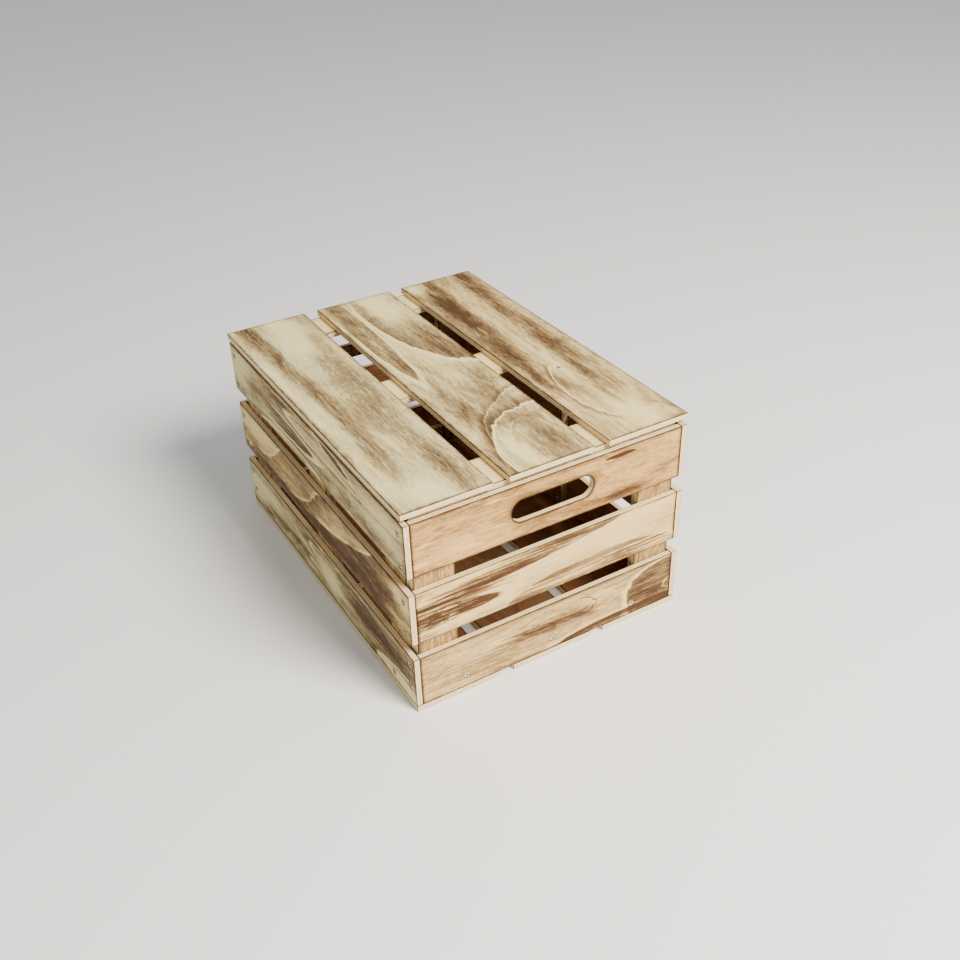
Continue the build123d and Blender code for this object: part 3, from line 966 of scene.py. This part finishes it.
def lathe(name, outline):
    """A round solid about Z, extruded ring by ring from its outline of radius and height."""
    deselect_all()
    radius, height = outline[0]
    bpy.ops.mesh.primitive_circle_add(vertices=40, radius=radius, fill_type="NGON", location=(0, 0, height))
    solid = bpy.context.object
    solid.name = name
    bpy.ops.object.transform_apply(location=True, rotation=True, scale=True)
    bpy.ops.object.mode_set(mode="EDIT")
    bpy.ops.mesh.select_all(action="SELECT")
    for new_radius, new_height in outline[1:]:
        bpy.ops.mesh.extrude_region_move(TRANSFORM_OT_translate={"value": (0, 0, new_height - height)})
        grow = new_radius / radius
        bpy.ops.transform.resize(value=(grow, grow, 1), center_override=(0, 0, new_height))
        radius, height = new_radius, new_height
    bpy.ops.mesh.select_all(action="SELECT")
    bpy.ops.mesh.normals_make_consistent(inside=False)
    bpy.ops.object.mode_set(mode="OBJECT")
    return solid


def hole_cutter(wood, length):
    """The countersunk hole of a screw, pointing down from the board's face at zero."""
    wide = HEAD_RADIUS + HOLE_CLEARANCE
    narrow = SHANK_RADIUS + HOLE_CLEARANCE
    seat = -(HEAD_SINK + HEAD_LAND + HOLE_CLEARANCE)
    hole = lathe("screw hole", [
        (wide + 1.6 * wood.hole_flare, 0.6 * wood.hole_flare),
        (wide + wood.hole_flare, 0),
        (wide + 0.35 * wood.hole_flare, -0.35 * wood.hole_flare),
        (wide, -wood.hole_flare),
        (wide, seat),
        (narrow, seat - (wide - narrow)),
        (narrow, -(HEAD_SINK + length + HOLE_END_ROOM)),
    ])
    give_finishes(hole)
    # Every face of the hole takes the painted recess shade, which shows as a dark ring round each screw head.
    for face in hole.data.polygons:
        face.material_index = 1
    return hole


def holes_near(low, high):
    """One cutter for all the screw holes that reach a board, or None."""
    cutters = []
    for face, outward, length in sum(SCREW_PLACES.values(), []):
        tip = face - outward * length
        reaches = all(
            min(face[i], tip[i]) - HEAD_RADIUS * (1 - abs(outward[i])) < high[i]
            and max(face[i], tip[i]) + HEAD_RADIUS * (1 - abs(outward[i])) > low[i]
            for i in range(3)
        )
        if reaches:
            cutters.append(stand(duplicate(HOLE_SHAPES[length]), face + outward * HEAD_SINK, outward))
    return joined(cutters) if cutters else None


def recess_cutter():
    """A tapered cross for the driver, standing above zero and reaching below it."""
    arms = []
    for along, across in ((RECESS_HALF_LENGTH, RECESS_HALF_WIDTH), (RECESS_HALF_WIDTH, RECESS_HALF_LENGTH)):
        corner = Vector((along, across, RECESS_DEPTH))
        arm = plain_block("recess", -corner, corner)
        edit_points(arm, lambda point: point.z < 0)
        bpy.ops.transform.resize(
            value=(RECESS_TAPER, RECESS_TAPER, 1), center_override=(0, 0, -RECESS_DEPTH),
        )
        bpy.ops.object.mode_set(mode="OBJECT")
        arms.append(arm)
    cut = arms[0]
    apply_modifier(cut, "BOOLEAN", "cross", object=arms[1], operation="UNION", solver="EXACT")
    remove(arms[1])
    return cut


def model_screw(length):
    """A countersunk screw that points down, its head's face at zero."""
    screw = lathe("screw", [
        (HEAD_RADIUS - HEAD_CHAMFER, 0),
        (HEAD_RADIUS, -HEAD_CHAMFER),
        (HEAD_RADIUS, -HEAD_LAND),
        (SHANK_RADIUS, -(HEAD_LAND + HEAD_RADIUS - SHANK_RADIUS)),
        (SHANK_RADIUS, -length + POINT_LENGTH),
        (POINT_RADIUS, -length),
    ])
    cross = recess_cutter()
    cut_away(screw, cross)
    remove(cross)
    give_finishes(screw)
    # The faces of the cross recess take the painted recess shade.
    for face in screw.data.polygons:
        inside = -RECESS_DEPTH - 0.01 * MM < face.center.z < -0.05 * MM
        face.material_index = int(inside and face.center.xy.length < RECESS_HALF_LENGTH)
    choose(screw)
    bpy.ops.object.shade_smooth_by_angle(angle=math.radians(30))
    return screw


def model_screws(node, shapes):
    """All the screws of a CAD node as one piece."""
    copies = [stand(duplicate(shapes[length]), face, outward) for face, outward, length in SCREW_PLACES[node]]
    piece = joined(copies)
    bpy.ops.object.transform_apply(location=True, rotation=True, scale=True)
    piece.name = node + "_zinc"
    piece.data.name = piece.name
    return piece


def hand_hole_cutter(node, wood):
    """A slot with round ends through a top end slat."""
    low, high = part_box(node)
    radius = wood.hand_hole_height / 2
    stretch = wood.hand_hole_length / 2 - radius
    deselect_all()
    bpy.ops.mesh.primitive_cylinder_add(
        vertices=72, radius=radius, depth=0.05, location=(low + high) / 2, rotation=(math.pi / 2, 0, 0),
    )
    cutter = bpy.context.object
    bpy.ops.object.transform_apply(location=True, rotation=True, scale=True)
    for side in (-1, 1):
        edit_points(cutter, lambda point: side * point.x > 0.01 * MM)
        bpy.ops.transform.translate(value=(side * stretch, 0, 0))
        bpy.ops.object.mode_set(mode="OBJECT")
    return cutter


def model_board(node):
    """A sanded board in the place of a CAD node, drilled for its screws."""
    wood = bpy.context.scene.crate_wood
    low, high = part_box(node)
    piece = plain_block(node + "_board", low, high)
    give_finishes(piece)
    if has_hand_hole(node):
        opening = hand_hole_cutter(node, wood)
        cut_away(piece, opening)
        remove(opening)
    apply_modifier(
        piece, "BEVEL", "rounded arrises",
        width=wood.rounding, segments=3, limit_method="ANGLE", angle_limit=math.radians(50),
    )
    holes = holes_near(low, high)
    if holes:
        cut_away(piece, holes)
        remove(holes)
    choose(piece)
    bpy.ops.object.mode_set(mode="EDIT")
    for axis in (AXIS_X, AXIS_Y, AXIS_Z):
        if (high - low).dot(axis) > wood.section:
            cut_sections(low, high, wood.section, axis)
    bpy.ops.object.mode_set(mode="OBJECT")
    apply_modifier(
        piece, "DISPLACE", "waviness",
        texture=bpy.data.textures["waviness"], texture_coords="LOCAL",
        mid_level=0.5, strength=2 * wood.waviness,
    )
    choose(piece)
    bpy.ops.object.shade_smooth_by_angle(angle=math.radians(35))
    apply_modifier(piece, "WEIGHTED_NORMAL", "flat faces", keep_sharp=True)
    return piece


def take_place(piece, node):
    """Let a piece stand for a CAD node, on that node's body."""
    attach(piece, BODY_OF[node])
    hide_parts(node)


def build_boards(kind):
    """Every board whose node's name starts with this kind."""
    nodes = [node for node in SLOT_OF if node.startswith(kind) and node not in SCREW_NODES]
    if not nodes:
        raise RuntimeError(f"the frame has no board of the kind {kind}")
    for node in nodes:
        piece = model_board(node)
        piece.data.materials[0] = board_material(node)
        take_place(piece, node)


# ---- stage

def add_light(name, energy, place, target, size, colour):
    """A round soft lamp that faces a target."""
    data = bpy.data.lights.new(name, "AREA")
    data.energy = energy
    data.color = colour
    data.shape = "DISK"
    data.size = size
    lamp = bpy.data.objects.new(name, data)
    bpy.context.scene.collection.objects.link(lamp)
    lamp.location = place
    lamp.rotation_euler = (Vector(target) - Vector(place)).to_track_quat("-Z", "Y").to_euler()


def add_camera(stage):
    """The camera at its place, turned by its heading, dip and roll."""
    data = bpy.data.cameras.new("Camera")
    data.lens = stage.lens
    camera = bpy.data.objects.new("Camera", data)
    bpy.context.scene.collection.objects.link(camera)
    heading, dip = stage.camera_heading, stage.camera_dip
    ahead = Vector((math.sin(heading) * math.cos(dip), math.cos(heading) * math.cos(dip), -math.sin(dip)))
    level = ahead.to_track_quat("-Z", "Y").to_matrix()
    roll = Matrix.Rotation(-stage.camera_roll, 3, "Z")
    camera.location = stage.camera_place
    camera.rotation_euler = (level @ roll).to_euler()
    bpy.context.scene.camera = camera


# ---- operators

class CRATE_OT_workshop(bpy.types.Operator):
    """Make the shared wood effects and find where the screws stand."""

    bl_idname = "crate.workshop"
    bl_label = "Workshop"

    def execute(self, context):
        make_groups()
        screw_material()
        recess_shade_material()
        texture = bpy.data.textures.new("waviness", "CLOUDS")
        texture.noise_scale = 0.06
        SCREW_PLACES.update({node: cad_screw_places(node) for node in SCREW_NODES})
        wood = context.scene.crate_wood
        lengths = {length for places in SCREW_PLACES.values() for face, outward, length in places}
        HOLE_SHAPES.update({length: hole_cutter(wood, length) for length in sorted(lengths)})
        return {"FINISHED"}


class CRATE_OT_lid_slats(bpy.types.Operator):
    """Model the three slats of the lid."""

    bl_idname = "crate.lid_slats"
    bl_label = "Lid slats"

    def execute(self, context):
        build_boards("lid_slat")
        return {"FINISHED"}


class CRATE_OT_lid_battens(bpy.types.Operator):
    """Model the three battens under the lid."""

    bl_idname = "crate.lid_battens"
    bl_label = "Lid battens"

    def execute(self, context):
        build_boards("lid_batten")
        return {"FINISHED"}


class CRATE_OT_end_slats(bpy.types.Operator):
    """Model the slats of both end walls, with their hand holes."""

    bl_idname = "crate.end_slats"
    bl_label = "End slats"

    def execute(self, context):
        build_boards("end_slat")
        return {"FINISHED"}


class CRATE_OT_side_slats(bpy.types.Operator):
    """Model the slats of both long walls."""

    bl_idname = "crate.side_slats"
    bl_label = "Side slats"

    def execute(self, context):
        build_boards("side_slat")
        return {"FINISHED"}


class CRATE_OT_cleats(bpy.types.Operator):
    """Model the upright cleats inside the walls."""

    bl_idname = "crate.cleats"
    bl_label = "Cleats"

    def execute(self, context):
        build_boards("end_cleat")
        build_boards("side_cleat")
        return {"FINISHED"}


class CRATE_OT_bottom(bpy.types.Operator):
    """Model the bottom boards, the rails along the floor and the batten across it."""

    bl_idname = "crate.bottom"
    bl_label = "Bottom"

    def execute(self, context):
        build_boards("bottom_board")
        build_boards("bottom_rail")
        build_boards("bottom_batten")
        return {"FINISHED"}


class CRATE_OT_screws(bpy.types.Operator):
    """Model the countersunk screws in their groups."""

    bl_idname = "crate.screws"
    bl_label = "Screws"

    def execute(self, context):
        shapes = {length: model_screw(length) for length in HOLE_SHAPES}
        for node in SCREW_NODES:
            take_place(model_screws(node, shapes), node)
        for shape in (*shapes.values(), *HOLE_SHAPES.values()):
            remove(shape)
        return {"FINISHED"}


class CRATE_OT_stage(bpy.types.Operator):
    """Add the floor, the lights and the camera."""

    bl_idname = "crate.stage"
    bl_label = "Stage"

    def execute(self, context):
        stage = context.scene.crate_stage
        deselect_all()
        bpy.ops.mesh.primitive_plane_add(size=stage.floor_size)
        floor = context.object
        floor.name = "floor"
        paint, w, shader = new_material("floor")
        w.put(shader.inputs["Base Color"], stage.floor_colour)
        w.put(shader.inputs["Roughness"], 0.8)
        floor.data.materials.append(paint)
        world = bpy.data.worlds.new("World")
        context.scene.world = world
        world.use_nodes = True
        sky = world.node_tree.nodes["Background"]
        sky.inputs["Color"].default_value = (0.97, 0.98, 0.97, 1)
        sky.inputs["Strength"].default_value = 0.5
        add_light(
            "key", energy=222, place=(0.65, -2.05, 2.25), target=(0, 0, 0.1),
            size=1.3, colour=(1.0, 0.93, 0.85),
        )
        add_camera(stage)
        return {"FINISHED"}


class CRATE_PT_panel(bpy.types.Panel):
    """Lists the crate's sizes, finishes and pieces."""

    bl_idname = "CRATE_PT_panel"
    bl_label = "Apple crate"
    bl_space_type = "VIEW_3D"
    bl_region_type = "UI"
    bl_category = "Crate"

    def draw(self, context):
        scene = context.scene
        for settings in (scene.crate_wood, scene.crate_finish, scene.crate_stage):
            box = self.layout.box()
            for name in settings.bl_rna.properties.keys():
                if name not in ("rna_type", "name"):
                    box.prop(settings, name)
        for operator in OPERATORS:
            self.layout.operator(operator.bl_idname)


SETTINGS = {
    "crate_wood": CrateWoodSettings,
    "crate_finish": CrateFinishSettings,
    "crate_stage": CrateStageSettings,
}
OPERATORS = (
    CRATE_OT_workshop, CRATE_OT_lid_slats, CRATE_OT_lid_battens, CRATE_OT_end_slats, CRATE_OT_side_slats,
    CRATE_OT_cleats, CRATE_OT_bottom, CRATE_OT_screws, CRATE_OT_stage,
)
CLASSES = (*SETTINGS.values(), *OPERATORS, CRATE_PT_panel)


def register():
    for cls in CLASSES:
        bpy.utils.register_class(cls)
    for name, cls in SETTINGS.items():
        setattr(bpy.types.Scene, name, PointerProperty(type=cls))


def unregister():
    for name in SETTINGS:
        delattr(bpy.types.Scene, name)
    for cls in reversed(CLASSES):
        bpy.utils.unregister_class(cls)


def main():
    register()
    bpy.ops.crate.workshop()
    bpy.ops.crate.lid_slats()
    bpy.ops.crate.lid_battens()
    bpy.ops.crate.end_slats()
    bpy.ops.crate.side_slats()
    bpy.ops.crate.cleats()
    bpy.ops.crate.bottom()
    bpy.ops.crate.screws()
    bpy.ops.crate.stage()


if __name__ == "__main__":
    main()
